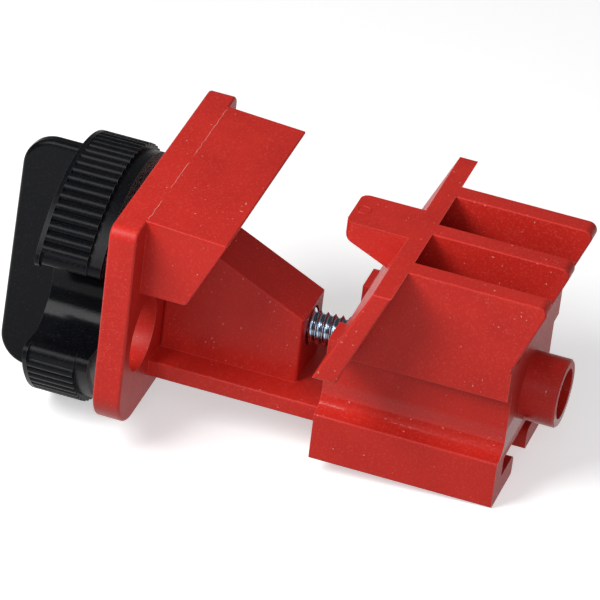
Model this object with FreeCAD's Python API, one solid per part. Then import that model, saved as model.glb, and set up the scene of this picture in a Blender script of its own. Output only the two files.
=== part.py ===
import FreeCAD
import Part
import math
import os
from FreeCAD import Vector

# Clamp-on breaker lockout: a fixed jaw frame, a jaw that slides on its rail, and a thumb
# screw that draws the jaw in. Millimetres. +X runs along the screw, from the knob to the
# sliding jaw. +Z is up, towards the face that lies on the breaker.
# The origin is the middle of the bottom face of the end plate.

# End plate
plate_width = 52.0
plate_height = 41.5
plate_thickness = 5.0
plate_bottom_corner = 8.4
plate_top_corner = 2.0
edge_round = 0.5

# Screw line and padlock hole
screw_height = 16.0
shackle_hole_r = 6.6
shackle_hole_offset = 16.4

# Gripping faces
jaw_slant_deg = 24.0
jaw_opening = 26.45

# Ledge of the fixed jaw
ledge_width = 42.0
ledge_reach = 14.8
ledge_depth = 14.6
ledge_droop = 0.9
ledge_tip_round = 0.3
ledge_heel_round = 1.0
ledge_wall = 2.6
ledge_roof = 3.0

# Tapered housing round the screw; its width follows from the ring that turns inside it
housing_length = 25.2
housing_end_height = 20.2
housing_slope_deg = 26.0
housing_round = 0.6
housing_side_wall = 1.3
housing_side_gap = 0.4
housing_roof = 2.2
housing_nose_wall = 4.0

# Rail and the channel that it fits
rail_width = 22.4
rail_thickness = 3.15
rail_length = 60.0
rail_edge_round = 0.4
rail_clearance = 0.3
lip_thickness = 4.0

# Sliding jaw, block; the feet stand outside the channel and the boss round its bore
block_lead = 0.75
block_length = 32.95
foot_wall = 4.5
foot_height = 9.2
foot_round = 0.5
waist_width = 25.0
lip_gap = 8.0
lip_round = 1.2
wing_bottom = 21.5
deck_roof = 1.8
boss_wall = 1.6
boss_length = 6.3
boss_edge = 0.3

# Sliding jaw, gripping wall, fins and tongue
wall_width = 49.4
wall_bottom = 22.1
wall_top_thickness = 3.3
wall_bottom_thickness = 4.2
wall_corner_round = 0.8
fin_thickness = 3.7
fin_spacing = 13.5
fin_reach = 28.4
fin_kink_height = 27.9
fin_corner_round = 1.5
fin_edge_round = 0.35
tongue_width = 9.8
tongue_reach = 11.3
tongue_tip_depth = 3.2
tongue_tip_round = 1.6
tongue_root_depth = 7.0
tongue_nose_round = 1.5

# Clearance of the housing in the jaw's cavity, and what is left of the gap when shut
cavity_clearance = 0.6
shut_gap = 0.3
nut_wall = 3.2

# Quarter-inch, 20 threads to the inch screw and its hexagon nut
thread_diameter = 6.35
thread_pitch = 1.27
thread_depth = 0.72
thread_crest = 0.16
thread_root = 0.30
screw_hole_clearance = 0.425
screw_tail = 7.0
screw_end_chamfer = 0.6
hex_across_flats = 11.11
head_thickness = 4.2
nut_thickness = 5.56
nut_chamfer = 0.55
nut_clearance = 0.15
thread_clearance = 0.05

# Rings and washer on the screw
washer_hole_gap = 1.2
washer_thickness = 0.8
ring_height = 0.925
ring_thickness = 1.0
ring_gap_deg = 50.0
ring_groove_depth = 0.6
stop_ring_height = 1.125
stop_ring_thickness = 1.5
stop_ring_clearance = 0.2
axial_clearance = 0.05
seat_clearance = 0.02

# Thumb knob
knob_radius = 23.2
knob_ridge_height = 0.75
knob_ridge_pitch_deg = 5.0
knob_rim_length = 9.1
knob_lip_length = 0.8
knob_flange_length = 2.4
knob_flange_inset = 0.25
knob_gap = 3.0
knob_hub_hole_gap = 1.8
knob_lobe_round = 1.8
knob_notch_clearance = 0.9
knob_face_thickness = 3.0
paddle_height = 44.0
paddle_length = 10.4
paddle_thickness = 3.0
paddle_corner_round = 5.5
paddle_edge_round = 0.9
paddle_root = 1.0
knob_rest_deg = -6.0

# How far a cut or a buried end runs past the face it meets
overshoot = 1.0

# Places worked out from the sizes above
plate_inner = plate_thickness / 2
plate_outer = -plate_inner
slant = math.tan(math.radians(jaw_slant_deg))
housing_slope = math.tan(math.radians(housing_slope_deg))
thread_r = thread_diameter / 2
hex_corner_r = hex_across_flats / math.sqrt(3)
screw_hole_r = thread_r + screw_hole_clearance
ring_radius = thread_r + ring_height
stop_ring_radius = thread_r + stop_ring_height
boss_bore_r = stop_ring_radius + stop_ring_clearance
boss_radius = boss_bore_r + boss_wall
housing_half = ring_radius + housing_side_gap + housing_side_wall
rail_half = rail_width / 2
channel_half = rail_half + rail_clearance
foot_half = channel_half + foot_wall
deck_half = fin_spacing + fin_thickness / 2
ledge_tip = plate_inner + ledge_reach
housing_end = plate_inner + housing_length
rail_bottom = lip_thickness + rail_clearance
rail_top = rail_bottom + rail_thickness
channel_top = rail_top + rail_clearance
jaw_top_x = ledge_tip + jaw_opening
jaw_travel = jaw_opening - tongue_reach - shut_gap


def jaw_face_x(height):
    """Where the sliding jaw's gripping face lies at this height."""
    return jaw_top_x - (plate_height - height) * slant


wing_start = jaw_face_x(wing_bottom)
block_start = wing_start - block_lead
block_end = block_start + block_length
cavity_end = housing_end + jaw_travel + cavity_clearance
nut_point = hex_corner_r + nut_clearance
nut_start = cavity_end + nut_wall + nut_clearance
nut_end = nut_start + nut_thickness
stop_ring_start = nut_end + shut_gap
screw_end = stop_ring_start + screw_tail
washer_start = plate_outer - axial_clearance - washer_thickness
washer_radius = shackle_hole_offset - shackle_hole_r - washer_hole_gap
hub_start = washer_start - axial_clearance
hub_radius = shackle_hole_offset - shackle_hole_r - knob_hub_hole_gap
flange_start = plate_outer - knob_gap
rim_end = flange_start - knob_flange_length
knob_face = rim_end - knob_rim_length
head_start = knob_face + knob_face_thickness
head_end = head_start + head_thickness
ring_start = plate_inner + axial_clearance
ring_end = ring_start + ring_thickness


# Helpers

def rounded_wire(corners, place):
    """A closed wire through corners (u, v, radius), with an arc at each rounded one."""
    count = len(corners)
    entries = []
    exits = []
    middles = []
    for i in range(count):
        here = Vector(corners[i][0], corners[i][1], 0)
        before = Vector(corners[i - 1][0], corners[i - 1][1], 0)
        after = Vector(corners[(i + 1) % count][0], corners[(i + 1) % count][1], 0)
        radius = corners[i][2]
        back = (before - here).normalize()
        ahead = (after - here).normalize()
        half_angle = back.getAngle(ahead) / 2
        reach = radius / math.tan(half_angle)
        bisector = (back + ahead).normalize()
        entries.append(here + back * reach)
        exits.append(here + ahead * reach)
        middles.append(here + bisector * (radius / math.sin(half_angle) - radius))
    edges = []
    for i in range(count):
        if corners[i][2] > 0:
            arc = Part.Arc(place(entries[i]), place(middles[i]), place(exits[i]))
            edges.append(arc.toShape())
        start = exits[i]
        end = entries[(i + 1) % count]
        if (end - start).Length > 1e-6:
            edges.append(Part.LineSegment(place(start), place(end)).toShape())
    return Part.Wire(edges)


def prism(corners, axis, start, end):
    """A rounded outline pushed along one axis, from start to end.

    The outline's two directions are the other two axes, in the order X, Y, Z.
    """
    along = {"x": Vector(1, 0, 0), "y": Vector(0, 1, 0), "z": Vector(0, 0, 1)}[axis]

    def place(point):
        if axis == "x":
            return Vector(start, point.x, point.y)
        if axis == "y":
            return Vector(point.x, start, point.y)
        return Vector(point.x, point.y, start)

    return Part.Face(rounded_wire(corners, place)).extrude(along * (end - start))


def rim_edges(shape, axis, position):
    """The edges that lie in the plane at this position on an axis."""
    found = []
    for edge in shape.Edges:
        box = edge.BoundBox
        low = {"x": box.XMin, "y": box.YMin, "z": box.ZMin}[axis]
        high = {"x": box.XMax, "y": box.YMax, "z": box.ZMax}[axis]
        if abs(low - position) < 1e-4 and abs(high - position) < 1e-4:
            found.append(edge)
    return found


def soft_prism(corners, axis, start, end, radius):
    """A prism whose two end outlines are rounded."""
    shape = prism(corners, axis, start, end)
    edges = rim_edges(shape, axis, start) + rim_edges(shape, axis, end)
    return shape.makeFillet(radius, edges)


def rod(radius, start, end, y=0.0):
    """A cylinder along X, level with the screw."""
    return Part.makeCylinder(radius, end - start, Vector(start, y, screw_height), Vector(1, 0, 0))


def hexagon(corner_r, start, end):
    """A hexagonal bar along X with upright flats on its two sides."""
    points = []
    for i in range(7):
        angle = math.radians(90 + 60 * i)
        y = corner_r * math.cos(angle)
        z = screw_height + corner_r * math.sin(angle)
        points.append(Vector(start, y, z))
    return Part.Face(Part.makePolygon(points)).extrude(Vector(end - start, 0, 0))


def turned(points):
    """A solid turned about the screw line, from (x, radius) points."""
    outline = [Vector(x, 0, screw_height + radius) for x, radius in points]
    outline.append(outline[0])
    line = Vector(0, 0, screw_height)
    return Part.Face(Part.makePolygon(outline)).revolve(line, Vector(1, 0, 0), 360)


def joined(first, others):
    """One clean solid from overlapping ones."""
    return first.fuse(others).removeSplitter()


# Fixed jaw frame

def housing_profile(shift, grow, low):
    """The housing's outline in X and Z, moved along X and grown on its nose and top."""
    end = housing_end + shift + grow
    end_top = housing_end_height + grow
    start = plate_inner + shift
    start_top = end_top + (end - start) * housing_slope
    return [(start, low, 0), (end, low, 0), (end, end_top, 0), (start, start_top, 0)]


def make_fixed_jaw_frame():
    half = plate_width / 2
    plate = soft_prism(
        [
            (-half, 0, plate_bottom_corner),
            (half, 0, plate_bottom_corner),
            (half, plate_height, plate_top_corner),
            (-half, plate_height, plate_top_corner),
        ],
        "x", plate_outer, plate_inner, edge_round,
    )

    ledge_bottom = plate_height - ledge_depth
    ledge_heel = ledge_tip - ledge_depth * slant
    half = ledge_width / 2
    ledge = soft_prism(
        [
            (0, ledge_bottom, 0),
            (ledge_heel, ledge_bottom, ledge_heel_round),
            (ledge_tip - ledge_droop * slant, plate_height - ledge_droop, ledge_tip_round),
            (plate_inner, plate_height, 0),
            (0, plate_height, 0),
        ],
        "y", -half, half, edge_round / 2,
    )

    buried = rail_top - rail_thickness / 2
    profile = housing_profile(0, 0, buried)
    housing = soft_prism(profile, "y", -housing_half, housing_half, housing_round)

    rail = prism(
        [
            (-rail_half, rail_bottom, rail_edge_round),
            (rail_half, rail_bottom, rail_edge_round),
            (rail_half, rail_top, rail_edge_round),
            (-rail_half, rail_top, rail_edge_round),
        ],
        "x", 0, plate_inner + rail_length,
    )
    frame = joined(plate, [ledge, housing, rail])

    # Hollow in the housing, open through the rail, where the retaining ring is fitted
    half = housing_half - housing_side_wall
    hollow_end = housing_end - housing_nose_wall
    hollow_top = housing_end_height - housing_roof
    nose_rise = housing_nose_wall * housing_slope
    run_rise = (hollow_end - plate_inner) * housing_slope
    hollow = prism(
        [
            (plate_inner, 0, 0),
            (hollow_end, 0, 0),
            (hollow_end, hollow_top + nose_rise, 0),
            (plate_inner, hollow_top + nose_rise + run_rise, 0),
        ],
        "y", -half, half,
    )
    cuts = [hollow]

    # Two cores under the ledge, one each side of the housing
    core_top = plate_height - ledge_roof
    core_inner = housing_half + ledge_wall / 2
    core_outer = ledge_width / 2 - ledge_wall
    tip_wall = ledge_wall * math.sqrt(1 + slant * slant)
    core_low_x = ledge_heel - tip_wall
    core_high_x = core_low_x + (core_top - ledge_bottom) * slant
    for side in (-1, 1):
        cuts.append(prism(
            [
                (plate_inner, ledge_bottom - overshoot, 0),
                (core_low_x - slant * overshoot, ledge_bottom - overshoot, 0),
                (core_high_x, core_top, 0),
                (plate_inner, core_top, 0),
            ],
            "y", side * core_inner, side * core_outer,
        ))

    cuts.append(rod(screw_hole_r, plate_outer - overshoot, housing_end + overshoot))
    cuts.append(rod(
        shackle_hole_r, plate_outer - overshoot, plate_inner + overshoot, -shackle_hole_offset))
    return frame.cut(cuts)


# Sliding jaw

def make_block():
    waist = waist_width / 2
    lip = lip_gap / 2
    shoulder_round = foot_half - waist - foot_round
    section = [
        (lip, 0, foot_round),
        (foot_half, 0, foot_round),
        (foot_half, foot_height, foot_round),
        (waist, foot_height, shoulder_round),
        (waist, wing_bottom + deck_roof / 2, 0),
        (-waist, wing_bottom + deck_roof / 2, 0),
        (-waist, foot_height, shoulder_round),
        (-foot_half, foot_height, foot_round),
        (-foot_half, 0, foot_round),
        (-lip, 0, foot_round),
        (-lip, lip_thickness, lip_round),
        (-channel_half, lip_thickness, 0),
        (-channel_half, channel_top, 0),
        (channel_half, channel_top, 0),
        (channel_half, lip_thickness, 0),
        (lip, lip_thickness, lip_round),
    ]
    return prism(section, "x", block_start, block_end)


def make_deck():
    """The floor between the fins, which roofs the cavity and the nut."""
    cavity_mouth = housing_end_height + cavity_clearance + (cavity_end - block_start) * housing_slope
    top = cavity_mouth + deck_roof
    return prism(
        [
            (wing_start, wing_bottom, 0),
            (block_end, wing_bottom, 0),
            (block_end, top, 0),
            (jaw_face_x(top), top, 0),
        ],
        "y", -deck_half, deck_half,
    )


def make_wall():
    half = wall_width / 2
    return soft_prism(
        [
            (jaw_face_x(wall_bottom), wall_bottom, 0),
            (jaw_face_x(wall_bottom) + wall_bottom_thickness, wall_bottom, 0),
            (jaw_top_x + wall_top_thickness, plate_height, 0),
            (jaw_top_x, plate_height, 0),
        ],
        "y", -half, half, wall_corner_round / 2,
    )


def make_fin(centre):
    half = fin_thickness / 2
    inside = wall_top_thickness / 2
    return soft_prism(
        [
            (jaw_face_x(wing_bottom) + inside, wing_bottom, 0),
            (block_end, wing_bottom, 0),
            (block_end, fin_kink_height, 0),
            (jaw_top_x + fin_reach, plate_height, fin_corner_round),
            (jaw_top_x + inside, plate_height, 0),
        ],
        "y", centre - half, centre + half, fin_edge_round,
    )


def make_tongue():
    half = tongue_width / 2
    nose = jaw_top_x - tongue_reach
    root = jaw_top_x + wall_top_thickness / 2
    side_view = prism(
        [
            (nose, plate_height, 0),
            (nose, plate_height - tongue_tip_depth, tongue_tip_round),
            (jaw_top_x - tongue_root_depth * slant, plate_height - tongue_root_depth, 0),
            (root - tongue_root_depth * slant, plate_height - tongue_root_depth, 0),
            (root, plate_height, 0),
        ],
        "y", -half, half,
    )
    top_view = prism(
        [
            (nose, -half, tongue_nose_round),
            (root, -half, 0),
            (root, half, 0),
            (nose, half, tongue_nose_round),
        ],
        "z", 0, plate_height + overshoot,
    )
    return side_view.common(top_view)


def make_sliding_jaw():
    boss = rod(boss_radius, block_end - overshoot, block_end + boss_length)
    boss = boss.makeChamfer(boss_edge, rim_edges(boss, "x", block_end + boss_length))
    parts = [make_deck(), make_wall(), make_tongue(), boss]
    for place in (-1, 0, 1):
        parts.append(make_fin(place * fin_spacing))
    jaw = joined(make_block(), parts)

    # Cavity that takes the housing's nose when the jaw is shut
    half = housing_half + cavity_clearance
    profile = housing_profile(jaw_travel, cavity_clearance, channel_top - rail_clearance)
    cavity = prism(profile, "y", -half, half)

    # Pocket that the nut is pushed up into from the channel
    half = hex_across_flats / 2 + nut_clearance
    pocket = prism(
        [
            (-half, channel_top - rail_clearance, 0),
            (half, channel_top - rail_clearance, 0),
            (half, screw_height + nut_point / 2, 0),
            (0, screw_height + nut_point, 0),
            (-half, screw_height + nut_point / 2, 0),
        ],
        "x", nut_start - nut_clearance, nut_end + nut_clearance,
    )
    shaft = rod(screw_hole_r, block_start - overshoot, nut_end)
    bore = rod(boss_bore_r, nut_end, block_end + boss_length + overshoot)
    return jaw.cut([cavity, pocket, shaft, bore])


# Screw, nut, rings and washer

def make_clamp_screw():
    root_r = thread_r - thread_depth
    groove_r = thread_r - ring_groove_depth
    thread_start = ring_end + thread_pitch
    turns = int((screw_end - screw_end_chamfer - thread_start) / thread_pitch)
    flank = (thread_pitch - thread_crest - thread_root) / 2
    points = [
        (head_end - overshoot, 0),
        (head_end - overshoot, thread_r),
        (ring_start, thread_r),
        (ring_start, groove_r),
        (ring_end, groove_r),
        (ring_end, thread_r),
    ]
    for turn in range(turns):
        x = thread_start + turn * thread_pitch
        points.append((x, thread_r))
        points.append((x + flank, root_r))
        points.append((x + flank + thread_root, root_r))
        points.append((x + 2 * flank + thread_root, thread_r))
    points.append((screw_end - screw_end_chamfer, thread_r))
    points.append((screw_end, thread_r - screw_end_chamfer))
    points.append((screw_end, 0))
    return joined(turned(points), [hexagon(hex_corner_r, head_start, head_end)])


def make_clamp_nut():
    nut = hexagon(hex_corner_r, nut_start, nut_end)
    blank = rod(hex_corner_r, nut_start, nut_end)
    ends = rim_edges(blank, "x", nut_start) + rim_edges(blank, "x", nut_end)
    blank = blank.makeChamfer(nut_chamfer, ends)
    hole = rod(thread_r + thread_clearance, nut_start - overshoot, nut_end + overshoot)
    return nut.common(blank).cut(hole)


def make_retaining_ring():
    groove_r = thread_r - ring_groove_depth
    start = ring_start + seat_clearance
    end = ring_end - seat_clearance
    ring = rod(ring_radius, start, end).cut(rod(groove_r + seat_clearance, start, end))
    half = ring_radius * math.tan(math.radians(ring_gap_deg / 2))
    low = screw_height - ring_radius
    gap = prism(
        [
            (-half, low - overshoot, 0),
            (half, low - overshoot, 0),
            (half, low, 0),
            (0, screw_height, 0),
            (-half, low, 0),
        ],
        "x", start - overshoot, end + overshoot,
    )
    return ring.cut(gap)


def make_stop_ring():
    end = stop_ring_start + stop_ring_thickness
    return rod(stop_ring_radius, stop_ring_start, end).cut(
        rod(thread_r + seat_clearance, stop_ring_start, end))


def make_thrust_washer():
    end = washer_start + washer_thickness
    return rod(washer_radius, washer_start, end).cut(
        rod(thread_r + thread_clearance, washer_start, end))


# Thumb knob

def knob_point(radius, angle):
    return Vector(0, radius * math.cos(angle), screw_height + radius * math.sin(angle))


def lobe_edges(side, radius, crest):
    """Half of the knob's outline: one notch, then one lobe, with ridges if crest is given."""
    notch = shackle_hole_r + knob_notch_clearance
    corner_v = notch + knob_lobe_round
    corner_u = math.sqrt((radius - knob_lobe_round) ** 2 - corner_v ** 2)
    corner_angle = math.atan2(corner_v, corner_u)
    turn = side * math.pi / 2 - math.pi / 2

    def at(u, v):
        return knob_point(math.hypot(u, v), math.atan2(v, u) + turn)

    def corner(sign, entering):
        rim = at(radius * math.cos(corner_angle), sign * radius * math.sin(corner_angle))
        side_end = at(corner_u, sign * notch)
        bisect = (corner_angle - math.pi / 2) / 2
        middle = at(corner_u + knob_lobe_round * math.cos(bisect),
                    sign * (corner_v + knob_lobe_round * math.sin(bisect)))
        ends = (rim, side_end) if entering else (side_end, rim)
        return Part.Arc(ends[0], middle, ends[1]).toShape()

    centre = shackle_hole_offset
    edges = [
        corner(-1, True),
        Part.LineSegment(at(corner_u, -notch), at(centre, -notch)).toShape(),
        Part.Arc(at(centre, -notch), at(centre - notch, 0), at(centre, notch)).toShape(),
        Part.LineSegment(at(centre, notch), at(corner_u, notch)).toShape(),
        corner(1, False),
    ]
    span = math.pi - 2 * corner_angle
    steps = round(span / math.radians(knob_ridge_pitch_deg)) if crest else 1
    for i in range(steps):
        start = corner_angle + span * i / steps
        end = corner_angle + span * (i + 1) / steps
        top = crest if crest else radius
        edges.append(Part.Arc(
            knob_point(radius, start + turn),
            knob_point(top, (start + end) / 2 + turn),
            knob_point(radius, end + turn),
        ).toShape())
    return edges


def knob_disc(radius, crest, start, end):
    edges = lobe_edges(1, radius, crest) + lobe_edges(-1, radius, crest)
    face = Part.Face(Part.Wire(edges))
    face.translate(Vector(start, 0, 0))
    return face.extrude(Vector(end - start, 0, 0))


def make_thumb_knob():
    ridge_root = knob_radius - knob_ridge_height
    lip_end = knob_face + knob_lip_length
    lip = knob_disc(knob_radius, None, knob_face, lip_end)
    rim = knob_disc(ridge_root, knob_radius, lip_end, rim_end)
    flange = knob_disc(ridge_root - knob_flange_inset, None, rim_end, flange_start)
    hub = rod(hub_radius, flange_start - overshoot, hub_start)
    half = paddle_height / 2
    tip = knob_face - paddle_length
    paddle = soft_prism(
        [
            (tip, screw_height - half, paddle_corner_round),
            (knob_face + paddle_root, screw_height - half, 0),
            (knob_face + paddle_root, screw_height + half, 0),
            (tip, screw_height + half, paddle_corner_round),
        ],
        "y", -paddle_thickness / 2, paddle_thickness / 2, paddle_edge_round,
    )
    knob = joined(rim, [lip, flange, hub, paddle])
    knob.rotate(Vector(0, 0, screw_height), Vector(1, 0, 0), knob_rest_deg)
    head = hexagon(hex_corner_r, head_start, head_end)
    return knob.cut([head, rod(thread_r, head_end - overshoot, hub_start + overshoot)])


nodes = {
    "fixed_jaw_frame": make_fixed_jaw_frame,
    "sliding_jaw": make_sliding_jaw,
    "thumb_knob": make_thumb_knob,
    "clamp_screw": make_clamp_screw,
    "clamp_nut": make_clamp_nut,
    "thrust_washer": make_thrust_washer,
    "retaining_ring": make_retaining_ring,
    "stop_ring": make_stop_ring,
}

os.makedirs("parts", exist_ok=True)
for name, make in nodes.items():
    shape = make()
    shape.exportStep("parts/" + name + ".step")
    box = shape.BoundBox
    print(
        name, "solids", len(shape.Solids), "valid", shape.isValid(),
        "x %.2f..%.2f y %.2f..%.2f z %.2f..%.2f" % (
            box.XMin, box.XMax, box.YMin, box.YMax, box.ZMin, box.ZMax),
        "volume %.0f" % shape.Volume,
    )
print("jaw travel %.2f" % jaw_travel)
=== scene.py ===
import bpy
import bmesh
import math
from mathutils import Matrix, Vector, noise


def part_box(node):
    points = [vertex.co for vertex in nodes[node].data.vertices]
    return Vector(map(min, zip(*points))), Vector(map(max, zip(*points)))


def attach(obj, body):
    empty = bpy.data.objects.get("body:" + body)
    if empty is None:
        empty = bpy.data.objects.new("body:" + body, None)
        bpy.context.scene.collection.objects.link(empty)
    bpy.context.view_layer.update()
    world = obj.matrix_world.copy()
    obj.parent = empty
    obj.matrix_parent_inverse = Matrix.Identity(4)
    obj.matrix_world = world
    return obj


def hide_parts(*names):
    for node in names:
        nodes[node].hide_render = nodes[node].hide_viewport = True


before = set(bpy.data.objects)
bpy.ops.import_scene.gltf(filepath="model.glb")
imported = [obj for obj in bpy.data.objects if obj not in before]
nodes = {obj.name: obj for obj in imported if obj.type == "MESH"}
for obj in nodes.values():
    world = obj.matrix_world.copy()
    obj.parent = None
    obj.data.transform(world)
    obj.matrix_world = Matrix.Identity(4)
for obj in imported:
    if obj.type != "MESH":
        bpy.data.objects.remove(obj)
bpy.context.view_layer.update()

mm = 0.001


def cadSpan(node):
    # lowest and highest corners of a CAD node, in millimetres
    low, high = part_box(node)
    return low / mm, high / mm


frameLow, frameHigh = cadSpan("fixed_jaw_frame")
knobLow, knobHigh = cadSpan("thumb_knob")
screwLow, screwHigh = cadSpan("clamp_screw")
washerLow, washerHigh = cadSpan("thrust_washer")
screwLine = (washerLow.z + washerHigh.z) / 2  # height of the screw above the foot of the plate
print("frame loaded,", len(nodes), "CAD nodes")


# ---- material tools

def hexColour(code):
    # sRGB hex to the linear colour that the shader wants
    parts = [int(code[i:i + 2], 16) / 255 for i in (1, 3, 5)]
    linear = [p / 12.92 if p <= 0.04045 else ((p + 0.055) / 1.055) ** 2.4 for p in parts]
    return (*linear, 1.0)


def perMm(size):
    # texture scale that makes one feature this many millimetres wide
    return 1 / (size * mm)


def addNode(tree, kind, inputs=None, **settings):
    # adds a node, sets its properties, and links or fills its sockets
    node = tree.nodes.new(kind)
    for name, value in settings.items():
        setattr(node, name, value)
    for name, value in (inputs or {}).items():
        socket = node.inputs[name]
        if isinstance(value, bpy.types.NodeSocket):
            tree.links.new(value, socket)
        else:
            socket.default_value = value
    return node


def newMaterial(name):
    material = bpy.data.materials.new(name)
    material.use_nodes = True
    material.node_tree.nodes.clear()
    return material, material.node_tree


def closeMaterial(tree, shader):
    addNode(tree, "ShaderNodeOutputMaterial", {"Surface": shader.outputs[0]})


def blend(tree, share, first, second):
    # mixes two colours, each a socket or a fixed colour
    mix = addNode(tree, "ShaderNodeMix", {"Factor": share}, data_type="RGBA")
    for socket, value in ((mix.inputs[6], first), (mix.inputs[7], second)):
        if isinstance(value, bpy.types.NodeSocket):
            tree.links.new(value, socket)
        else:
            socket.default_value = value
    return mix.outputs[2]


# mask for paler edges: partly rubbed wear, partly a painted edge highlight
def edgeMask(tree, widthMm, strength):
    # near an edge the rounded normal leans away from the face, so the dot product falls
    rounded = addNode(tree, "ShaderNodeBevel", {"Radius": widthMm * mm}, samples=6)
    flat = addNode(tree, "ShaderNodeNewGeometry")
    agree = addNode(tree, "ShaderNodeVectorMath", {
        0: rounded.outputs["Normal"], 1: flat.outputs["Normal"]}, operation="DOT_PRODUCT")
    return addNode(tree, "ShaderNodeMapRange", {
        "Value": agree.outputs["Value"], "From Min": 0.99, "From Max": 0.80,
        "To Max": strength}).outputs["Result"]


def heightBand(tree, place, heights):
    # 1 between two heights above the foot, fading out over a millimetre
    height = addNode(tree, "ShaderNodeSeparateXYZ", {"Vector": place}).outputs["Z"]
    low, high = heights
    rise = addNode(tree, "ShaderNodeMapRange", {
        "Value": height, "From Min": (low - 1) * mm, "From Max": low * mm})
    fall = addNode(tree, "ShaderNodeMapRange", {
        "Value": height, "From Min": high * mm, "From Max": (high + 1) * mm, "To Min": 1.0, "To Max": 0.0})
    return addNode(tree, "ShaderNodeMath", {
        0: rise.outputs["Result"], 1: fall.outputs["Result"]}, operation="MULTIPLY").outputs["Value"]


def lineDistance(tree, place):
    # how far a point is from the screw line
    across = addNode(tree, "ShaderNodeMapping", {
        "Vector": place, "Location": (0, 0, -screwLine * mm), "Scale": (0, 1, 1)})
    return addNode(tree, "ShaderNodeVectorMath", {
        0: across.outputs["Vector"]}, operation="LENGTH").outputs["Value"]


redLook = {
    "colour": "#CC2A20",
    "shade": "#BF241C",
    "pale": "#E2685A",
    "edge": "#E88175",
    "dust": "#E8A79B",
    "paleShare": 0.30,
    "edgeShare": 0.50,
    "dustShare": 0.70,
    "mottleMm": 9.0,
    "grainMm": 0.38,  # the tool's spark texture is nearer 0.05 mm, drawn coarser so that it shows
    "grainDepthMm": 0.02,
    "dustMm": 0.5,
    "peelMm": 1.6,
    "peelDepthMm": 0.05,
    "peelStrength": 0.2,
    "roughness": 0.42,
    "roughnessSpread": 0.08,
    "polishedRoughness": 0.18,
    "shoulderHeights": (9.8, 13.6),
    "ior": 1.53,
    "specular": 0.22,
    "edgeMm": 0.16,
}

# Nylon 6, red through and through, injection moulded in a spark-eroded tool: semi-matte,
# with a fine grain, faint flow mottle, paler edges that are partly rubbed wear and partly painted
# edge highlight, and a little dust. A polished band, between two heights in millimetres, is glossy with a
# faint orange peel.


def makeRed(name, polished=None):
    look = redLook
    material, tree = newMaterial(name)
    place = addNode(tree, "ShaderNodeTexCoord").outputs["Object"]
    mottle = addNode(tree, "ShaderNodeTexNoise", {
        "Vector": place, "Scale": perMm(look["mottleMm"]), "Detail": 3.0, "Roughness": 0.55})
    mottleShare = addNode(tree, "ShaderNodeMapRange", {
        "Value": mottle.outputs["Fac"], "From Min": 0.3, "From Max": 0.7})
    colour = blend(
        tree, mottleShare.outputs["Result"], hexColour(look["shade"]), hexColour(look["colour"]))
    grain = addNode(tree, "ShaderNodeTexNoise", {
        "Vector": place, "Scale": perMm(look["grainMm"]), "Detail": 2.0, "Roughness": 0.6})
    grainShare = addNode(tree, "ShaderNodeMapRange", {
        "Value": grain.outputs["Fac"], "From Min": 0.52, "From Max": 0.75,
        "To Max": look["paleShare"]})
    colour = blend(tree, grainShare.outputs["Result"], colour, hexColour(look["pale"]))
    # paler edges: partly rubbed wear, partly a painted edge highlight
    edgeShare = edgeMask(tree, look["edgeMm"], look["edgeShare"])
    colour = blend(tree, edgeShare, colour, hexColour(look["edge"]))
    # specks of dust: only the very peaks of a fine noise
    specks = addNode(tree, "ShaderNodeTexNoise", {
        "Vector": place, "Scale": perMm(look["dustMm"]), "Detail": 0.0})
    speckShare = addNode(tree, "ShaderNodeMapRange", {
        "Value": specks.outputs["Fac"], "From Min": 0.82, "From Max": 0.88,
        "To Max": look["dustShare"]})
    colour = blend(tree, speckShare.outputs["Result"], colour, hexColour(look["dust"]))
    gloss = addNode(tree, "ShaderNodeMapRange", {
        "Value": grain.outputs["Fac"], "From Min": 0.3, "From Max": 0.7,
        "To Min": look["roughness"] - look["roughnessSpread"],
        "To Max": look["roughness"] + look["roughnessSpread"]}).outputs["Result"]
    peel = addNode(tree, "ShaderNodeTexNoise", {
        "Vector": place, "Scale": perMm(look["peelMm"]), "Detail": 1.0})
    peelStrength = look["peelStrength"]
    if polished:
        band = heightBand(tree, place, polished)
        gloss = addNode(tree, "ShaderNodeMapRange", {
            "Value": band, "To Min": gloss, "To Max": look["polishedRoughness"]}).outputs["Result"]
        peelStrength = addNode(tree, "ShaderNodeMapRange", {
            "Value": band, "To Min": peelStrength, "To Max": 1.0}).outputs["Result"]
    peelBump = addNode(tree, "ShaderNodeBump", {
        "Strength": peelStrength, "Distance": look["peelDepthMm"] * mm, "Height": peel.outputs["Fac"]})
    bump = addNode(tree, "ShaderNodeBump", {
        "Strength": 0.5, "Distance": look["grainDepthMm"] * mm,
        "Height": grain.outputs["Fac"], "Normal": peelBump.outputs["Normal"]})
    shader = addNode(tree, "ShaderNodeBsdfPrincipled", {
        "Base Color": colour, "Roughness": gloss,
        "Normal": bump.outputs["Normal"], "IOR": look["ior"],
        "Specular IOR Level": look["specular"]})
    closeMaterial(tree, shader)
    return material


flashLook = {
    "pale": "#F2A79C",
    "cloudMm": 2.5,
    "roughness": 0.45,
    "specular": 0.3,
    "width": 0.16,
    "height": 0.10,
    "stepMm": 0.6,
    "waver": 0.24,
    "swellsPerMm": 0.9,
    "wavesPerMm": 0.7,
    "breaksPerMm": 0.16,
    "breakLevel": -0.22,
    "thinned": 0.15,
    "taperMm": 1.5,
    "inset": 0.4,
    "sunk": 0.02,
    "seed": 3.0,
}

# Flash is the same nylon squeezed thin between the halves of the tool, so it looks paler.


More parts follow.
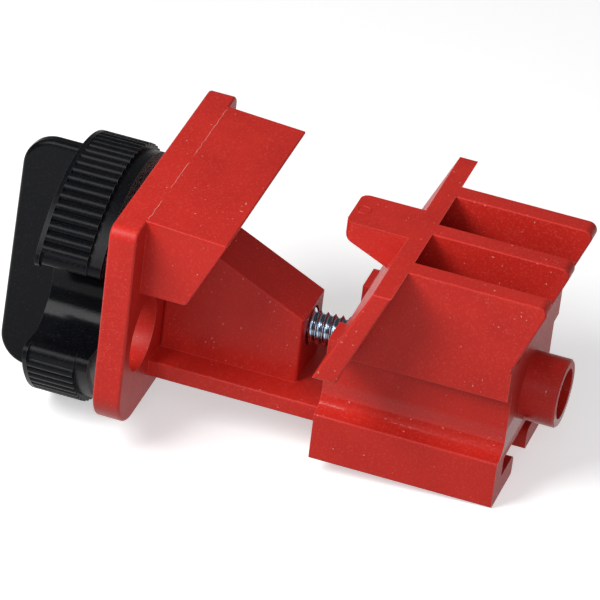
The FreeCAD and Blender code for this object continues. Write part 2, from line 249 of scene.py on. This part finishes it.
def makeFlashNylon():
    look = flashLook
    material, tree = newMaterial("paleNylonFlash")
    place = addNode(tree, "ShaderNodeTexCoord").outputs["Object"]
    cloud = addNode(tree, "ShaderNodeTexNoise", {
        "Vector": place, "Scale": perMm(look["cloudMm"]), "Detail": 2.0})
    colour = blend(tree, cloud.outputs["Fac"], hexColour(redLook["colour"]), hexColour(look["pale"]))
    shader = addNode(tree, "ShaderNodeBsdfPrincipled", {
        "Base Color": colour, "Roughness": look["roughness"], "IOR": redLook["ior"],
        "Specular IOR Level": look["specular"]})
    closeMaterial(tree, shader)
    return material


blackLook = {
    "colour": "#0B0C0F",
    "rubbedGreyAndHighlight": "#565E64",
    "grainShare": 0.12,
    "edgeShare": 0.40,
    "grainMm": 0.35,
    "grainDepthMm": 0.02,
    "roughness": 0.36,
    "roughnessSpread": 0.07,
    "polishedRoughness": 0.15,
    "polishedRadius": 20.6,
    "ior": 1.53,
    "specular": 0.08,
    "edgeMm": 0.14,
}

# Glass-filled nylon, black, injection moulded: a dense satin black whose edges are painted paler grey,
# partly as rubbed wear and partly as painted edge highlight.


def makeBlack():
    look = blackLook
    material, tree = newMaterial("blackGlassFilledNylon")
    place = addNode(tree, "ShaderNodeTexCoord").outputs["Object"]
    grain = addNode(tree, "ShaderNodeTexNoise", {
        "Vector": place, "Scale": perMm(look["grainMm"]), "Detail": 2.0, "Roughness": 0.6})
    grainShare = addNode(tree, "ShaderNodeMapRange", {
        "Value": grain.outputs["Fac"], "From Min": 0.55, "From Max": 0.8,
        "To Max": look["grainShare"]})
    rubbedGreyAndHighlight = hexColour(look["rubbedGreyAndHighlight"])
    colour = blend(tree, grainShare.outputs["Result"], hexColour(look["colour"]), rubbedGreyAndHighlight)
    # paler edges: partly rubbed wear, partly a painted edge highlight
    colour = blend(tree, edgeMask(tree, look["edgeMm"], look["edgeShare"]), colour, rubbedGreyAndHighlight)
    gloss = addNode(tree, "ShaderNodeMapRange", {
        "Value": grain.outputs["Fac"], "From Min": 0.3, "From Max": 0.7,
        "To Min": look["roughness"] - look["roughnessSpread"],
        "To Max": look["roughness"] + look["roughnessSpread"]})
    # the notch, nearer the screw line than the ribs, was polished in the tool
    polished = addNode(tree, "ShaderNodeMapRange", {
        "Value": lineDistance(tree, place), "From Min": look["polishedRadius"] * mm,
        "From Max": (look["polishedRadius"] + 0.4) * mm,
        "To Min": look["polishedRoughness"], "To Max": gloss.outputs["Result"]})
    bump = addNode(tree, "ShaderNodeBump", {
        "Strength": 0.5, "Distance": look["grainDepthMm"] * mm, "Height": grain.outputs["Fac"]})
    shader = addNode(tree, "ShaderNodeBsdfPrincipled", {
        "Base Color": colour, "Roughness": polished.outputs["Result"],
        "Normal": bump.outputs["Normal"], "IOR": look["ior"],
        "Specular IOR Level": look["specular"]})
    closeMaterial(tree, shader)
    return material


zincLook = {
    "bright": "#E6EEF5",
    "blue": "#B4CBE0",
    "root": "#3C444C",
    "cloudMm": 1.5,
    "roughnessLow": 0.12,
    "roughnessHigh": 0.28,
}

# Mild steel, rolled thread, clear zinc plate: bright and bluish, dull and dark in the roots.


def makeZinc(name, rootBand=None):
    look = zincLook
    material, tree = newMaterial(name)
    place = addNode(tree, "ShaderNodeTexCoord").outputs["Object"]
    cloud = addNode(tree, "ShaderNodeTexNoise", {
        "Vector": place, "Scale": perMm(look["cloudMm"]), "Detail": 3.0})
    colour = blend(tree, cloud.outputs["Fac"], hexColour(look["bright"]), hexColour(look["blue"]))
    gloss = addNode(tree, "ShaderNodeMapRange", {
        "Value": cloud.outputs["Fac"], "From Min": 0.3, "From Max": 0.7,
        "To Min": look["roughnessLow"], "To Max": look["roughnessHigh"]})
    # the colour darkens towards the thread roots, by distance from the screw line
    if rootBand:
        crestShare = addNode(tree, "ShaderNodeMapRange", {
            "Value": lineDistance(tree, place),
            "From Min": rootBand[0] * mm, "From Max": rootBand[1] * mm})
        colour = blend(tree, crestShare.outputs["Result"], hexColour(look["root"]), colour)
    shader = addNode(tree, "ShaderNodeBsdfPrincipled", {
        "Base Color": colour, "Roughness": gloss.outputs["Result"], "Metallic": 1.0})
    closeMaterial(tree, shader)
    return material


screwLook = {
    "diameter": 6.35,  # a quarter of an inch
    "pitch": 1.27,  # 20 threads to the inch
    "depth": 0.72,
    "crest": 0.16,
    "root": 0.22,
    "crestRound": 0.05,
    "stepsPerTurn": 48,
    "threadStart": 4.8,
    "grooveDepth": 0.6,
    "endChamfer": 0.6,
    "headThickness": 4.2,
    "headAcrossFlats": 11.11,
    "grooveEase": 0.02,
    "rootDarkBand": (-0.1, 0.3),  # above the root
    "sharpAngle": 28.0,
}

threadR = screwLook["diameter"] / 2
rootR = threadR - screwLook["depth"]
redNylon = makeRed("redMouldedNylon")
flashNylon = makeFlashNylon()
redJawNylon = makeRed("redMouldedNylonPolishedShoulder", polished=redLook["shoulderHeights"])
blackNylon = makeBlack()
zincSteel = makeZinc("clearZincPlatedSteel")
zincThread = makeZinc("clearZincPlatedThread", rootBand=[rootR + rise for rise in screwLook["rootDarkBand"]])
print("materials made")


def dress(obj, material):
    obj.data.materials.clear()
    obj.data.materials.append(material)


finishes = {
    "fixed_jaw_frame": redNylon,
    "sliding_jaw": redJawNylon,
    "thumb_knob": blackNylon,
    "clamp_screw": zincThread,
    "clamp_nut": zincSteel,
    "thrust_washer": zincSteel,
    "retaining_ring": zincSteel,
    "stop_ring": zincSteel,
}
for name, material in finishes.items():
    dress(nodes[name], material)


# ---- pieces that the CAD leaves plain

weldGap = 0.002 * mm  # points nearer than this are merged


def keepPiece(bm, name, material, body):
    mesh = bpy.data.meshes.new(name)
    bm.to_mesh(mesh)
    bm.free()
    piece = bpy.data.objects.new(name, mesh)
    bpy.context.scene.collection.objects.link(piece)
    mesh.materials.append(material)
    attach(piece, body)
    return piece


def outline(bm, points):
    # an open chain of edges through (x, radius) points, standing above the screw line
    verts = [bm.verts.new(Vector((x, 0, screwLine + radius)) * mm) for x, radius in points]
    edges = [bm.edges.new(pair) for pair in zip(verts, verts[1:])]
    return verts + edges


def turnOutline(bm, points):
    centre = Vector((0, 0, screwLine)) * mm
    bmesh.ops.spin(
        bm, geom=outline(bm, points), cent=centre, axis=(1, 0, 0), dvec=(0, 0, 0),
        angle=math.tau, steps=screwLook["stepsPerTurn"], use_merge=True)


def makeThread(bm, start, end):
    # one pitch of the outline, swept along a real helix and trimmed at both ends
    look = screwLook
    pitch, steps = look["pitch"], look["stepsPerTurn"]
    flank = (pitch - look["crest"] - look["root"]) / 2
    half = look["crest"] / 2
    drop = look["crestRound"]
    points = [
        (0, threadR),
        (half, threadR - drop),
        (half + flank, rootR),
        (half + flank + look["root"], rootR),
        (pitch - half, threadR - drop),
        (pitch, threadR),
    ]
    turns = math.ceil((end - start) / pitch) + 1
    shifted = [(start - pitch + x, radius) for x, radius in points]
    bmesh.ops.spin(
        bm, geom=outline(bm, shifted), cent=Vector((0, 0, screwLine)) * mm, axis=(1, 0, 0),
        dvec=(pitch / steps * mm, 0, 0), angle=math.tau * turns, steps=steps * turns)
    bmesh.ops.remove_doubles(bm, verts=bm.verts, dist=weldGap)
    for place, side in ((start, -1), (end, 1)):
        cut = bmesh.ops.bisect_plane(
            bm, geom=bm.verts[:] + bm.edges[:] + bm.faces[:], dist=0.0001 * mm,
            plane_co=(place * mm, 0, 0), plane_no=(side, 0, 0), clear_outer=True)
        rim = [e for e in cut["geom_cut"] if isinstance(e, bmesh.types.BMEdge)]
        bmesh.ops.contextual_create(bm, geom=rim)
    for vert in bm.verts:
        across = Vector((0, vert.co.y, vert.co.z - screwLine * mm))
        limit = (threadR - max(0, vert.co.x / mm - (end - look["endChamfer"]))) * mm
        if across.length > limit:
            across.length = limit
            vert.co.y, vert.co.z = across.y, across.z + screwLine * mm


def makeClampScrew():
    look = screwLook
    ringLow, ringHigh = cadSpan("retaining_ring")
    headEnd = screwLow.x + look["headThickness"]
    grooveR = threadR - look["grooveDepth"]
    grooveStart = ringLow.x - look["grooveEase"]
    grooveEnd = ringHigh.x + look["grooveEase"]
    bm = bmesh.new()
    makeThread(bm, look["threadStart"], screwHigh.x)
    shank = [
        (headEnd, 0), (headEnd, threadR), (grooveStart, threadR), (grooveStart, grooveR),
        (grooveEnd, grooveR), (grooveEnd, threadR),
        (look["threadStart"], threadR), (look["threadStart"], 0)]
    turnOutline(bm, shank)
    middle = Vector((screwLow.x + look["headThickness"] / 2, 0, screwLine)) * mm
    headR = look["headAcrossFlats"] / math.sqrt(3) * mm
    head = bmesh.ops.create_cone(
        bm, cap_ends=True, segments=6, depth=look["headThickness"] * mm, radius1=headR, radius2=headR,
        matrix=Matrix.Translation(middle) @ Matrix.Rotation(math.pi / 2, 4, "Y"))["verts"]
    bmesh.ops.rotate(bm, verts=head, cent=middle, matrix=Matrix.Rotation(math.pi / 6, 3, "X"))
    bmesh.ops.remove_doubles(bm, verts=bm.verts, dist=weldGap)
    bmesh.ops.recalc_face_normals(bm, faces=bm.faces)
    for face in bm.faces:
        face.smooth = True
    piece = keepPiece(bm, "zincClampScrew", zincThread, "screw")
    piece.data.set_sharp_from_angle(angle=math.radians(look["sharpAngle"]))
    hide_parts("clamp_screw")


def makeFlash(name, start, end, body):
    # a ragged thread of flash along a seam of the tool, half sunk in the moulding
    look = flashLook
    seed = look["seed"]
    start, end = Vector(start), Vector(end)
    run = end - start
    bm = bmesh.new()
    bmesh.ops.create_cube(bm, size=1.0)
    cuts = int(run.length / look["stepMm"])
    longEdges = [e for e in bm.edges if abs(e.verts[0].co.x - e.verts[1].co.x) > 0.5]
    bmesh.ops.subdivide_edges(bm, edges=longEdges, cuts=cuts, use_grid_fill=True)
    for vert in bm.verts:
        along = (vert.co.x + 0.5) * run.length
        swell = 0.75 + noise.noise(Vector((along * look["swellsPerMm"], seed, 0)))
        if noise.noise(Vector((along * look["breaksPerMm"], seed, 5))) < look["breakLevel"]:
            swell = look["thinned"]
        nearestEnd = min(along, run.length - along)
        taper = min(1, nearestEnd / look["taperMm"] + 0.1)
        sway = noise.noise(Vector((along * look["wavesPerMm"], seed, 9))) * look["waver"]
        vert.co = Vector((
            along,
            vert.co.y * look["width"] * swell * taper + sway,
            vert.co.z * look["height"] * 2 * swell * taper))
    turn = run.to_track_quat("X", "Z").to_matrix()
    bmesh.ops.rotate(bm, verts=bm.verts, cent=(0, 0, 0), matrix=turn)
    bmesh.ops.translate(bm, verts=bm.verts, vec=start)
    bmesh.ops.scale(bm, verts=bm.verts, vec=(mm, mm, mm))
    bmesh.ops.recalc_face_normals(bm, faces=bm.faces)
    keepPiece(bm, name, flashNylon, body)


ringLook = {
    "diameter": 2.3,
    "thickness": 0.14,
    "sunk": 0.04,
    "x": 34.2,
    "steps": 40,
}


def makePinRing(name, place, body):
    # the raised witness ring that an ejector pin leaves
    look = ringLook
    bm = bmesh.new()
    upright = Matrix.Rotation(math.pi / 2, 4, "X")
    bmesh.ops.create_circle(
        bm, segments=10, radius=look["thickness"] * mm,
        matrix=Matrix.Translation((look["diameter"] / 2 * mm, 0, 0)) @ upright)
    bmesh.ops.spin(
        bm, geom=bm.verts[:] + bm.edges[:], cent=(0, 0, 0), axis=(0, 0, 1), dvec=(0, 0, 0),
        angle=math.tau, steps=look["steps"], use_merge=True)
    bmesh.ops.remove_doubles(bm, verts=bm.verts, dist=weldGap)
    bmesh.ops.translate(bm, verts=bm.verts, vec=Vector(place) * mm)
    bmesh.ops.recalc_face_normals(bm, faces=bm.faces)
    for face in bm.faces:
        face.smooth = True
    keepPiece(bm, name, redNylon, body)


plateInner = -frameLow.x  # the plate's faces lie evenly about the origin
ledgeHalf = 21.0
topFace = frameHigh.z
seamHalf = ledgeHalf - flashLook["inset"]
seamTop = topFace - flashLook["sunk"]

makeClampScrew()
makeFlash("ledgeTopFlash", (plateInner, -seamHalf, seamTop), (plateInner, seamHalf, seamTop), "frame")
makePinRing("tonguePinRing", (ringLook["x"], 0.0, topFace - ringLook["sunk"]), "jaw")
print("screw, flash and moulding marks made")


# ---- stage: floor, lights, camera

stageLook = {
    "floorColour": "#F3F3F2",
    "floorSize": 3000.0,
    "worldColour": "#FFFFFF",
    "worldStrength": 0.20,
    "floorGlow": 0.48,
    "floorDrop": 0.05,
    "rimSetback": 4.5,  # from the hub's end back to the rim that touches the floor
    "footX": 67.0,
}

# The clamp stands on the knob's rim and the far end of the feet, so the floor leans a little.
rimX = knobHigh.x - stageLook["rimSetback"]
footX = stageLook["footX"]
lean = math.atan2(-knobLow.z, footX - rimX)


def makeFloor():
    bm = bmesh.new()
    bmesh.ops.create_grid(bm, x_segments=1, y_segments=1, size=stageLook["floorSize"] * mm / 2)
    bmesh.ops.rotate(bm, verts=bm.verts, cent=(0, 0, 0), matrix=Matrix.Rotation(-lean, 3, "Y"))
    bmesh.ops.translate(bm, verts=bm.verts, vec=Vector((footX, 0, -stageLook["floorDrop"])) * mm)
    mesh = bpy.data.meshes.new("floor")
    bm.to_mesh(mesh)
    bm.free()
    floor = bpy.data.objects.new("floor", mesh)
    bpy.context.scene.collection.objects.link(floor)
    material, tree = newMaterial("paleFloor")
    shader = addNode(tree, "ShaderNodeBsdfPrincipled", {
        "Base Color": hexColour(stageLook["floorColour"]), "Roughness": 0.9,
        "Emission Color": hexColour("#FFFFFF"), "Emission Strength": stageLook["floorGlow"]})
    closeMaterial(tree, shader)
    dress(floor, material)
    floor.visible_diffuse = False  # its white would wash out the shaded sides


lightLook = {
    "keySoftbox": {
        "size": 180, "power": 1.0, "place": (-130, -170, 245), "aim": (15, -5, 20), "colour": "#FFFFFF"},
    "frontFill": {
        "size": 320, "power": 0.6, "place": (160, -380, 240), "aim": (25, 0, 20), "colour": "#F1F5FF"},
}


def makeLight(name, look):
    data = bpy.data.lights.new(name, "AREA")
    data.shape = "SQUARE"
    data.size = look["size"] * mm
    data.energy = look["power"]
    data.color = hexColour(look["colour"])[:3]
    light = bpy.data.objects.new(name, data)
    place = Vector(look["place"])
    light.location = place * mm
    light.rotation_mode = "QUATERNION"
    light.rotation_quaternion = (Vector(look["aim"]) - place).to_track_quat("-Z", "Y")
    bpy.context.scene.collection.objects.link(light)


cameraLook = {
    "azimuth": 14.76,
    "elevation": 32.64,
    "roll": 7.14,
    "distance": 1055.1,
    "target": (24.71, 1.03, 19.66),
    "lens": 367.7,
}


def makeCamera():
    look = cameraLook
    data = bpy.data.cameras.new("camera")
    data.lens = look["lens"]
    data.sensor_width = 36.0
    camera = bpy.data.objects.new("camera", data)
    azimuth = math.radians(look["azimuth"])
    elevation = math.radians(look["elevation"])
    back = Vector((
        math.sin(azimuth) * math.cos(elevation),
        -math.cos(azimuth) * math.cos(elevation),
        math.sin(elevation)))
    camera.location = (Vector(look["target"]) + back * look["distance"]) * mm
    camera.rotation_mode = "QUATERNION"
    aim = (-back).to_track_quat("-Z", "Y")
    roll = Matrix.Rotation(math.radians(look["roll"]), 3, "Z").to_quaternion()
    camera.rotation_quaternion = aim @ roll
    bpy.context.scene.collection.objects.link(camera)
    bpy.context.scene.camera = camera


def makeWorld():
    world = bpy.data.worlds.new("studio")
    world.use_nodes = True
    background = world.node_tree.nodes["Background"]
    background.inputs["Color"].default_value = hexColour(stageLook["worldColour"])
    background.inputs["Strength"].default_value = stageLook["worldStrength"]
    bpy.context.scene.world = world


makeFloor()
makeWorld()
for name, look in lightLook.items():
    makeLight(name, look)
makeCamera()
bpy.context.scene.view_settings.view_transform = "Standard"
print("stage set")
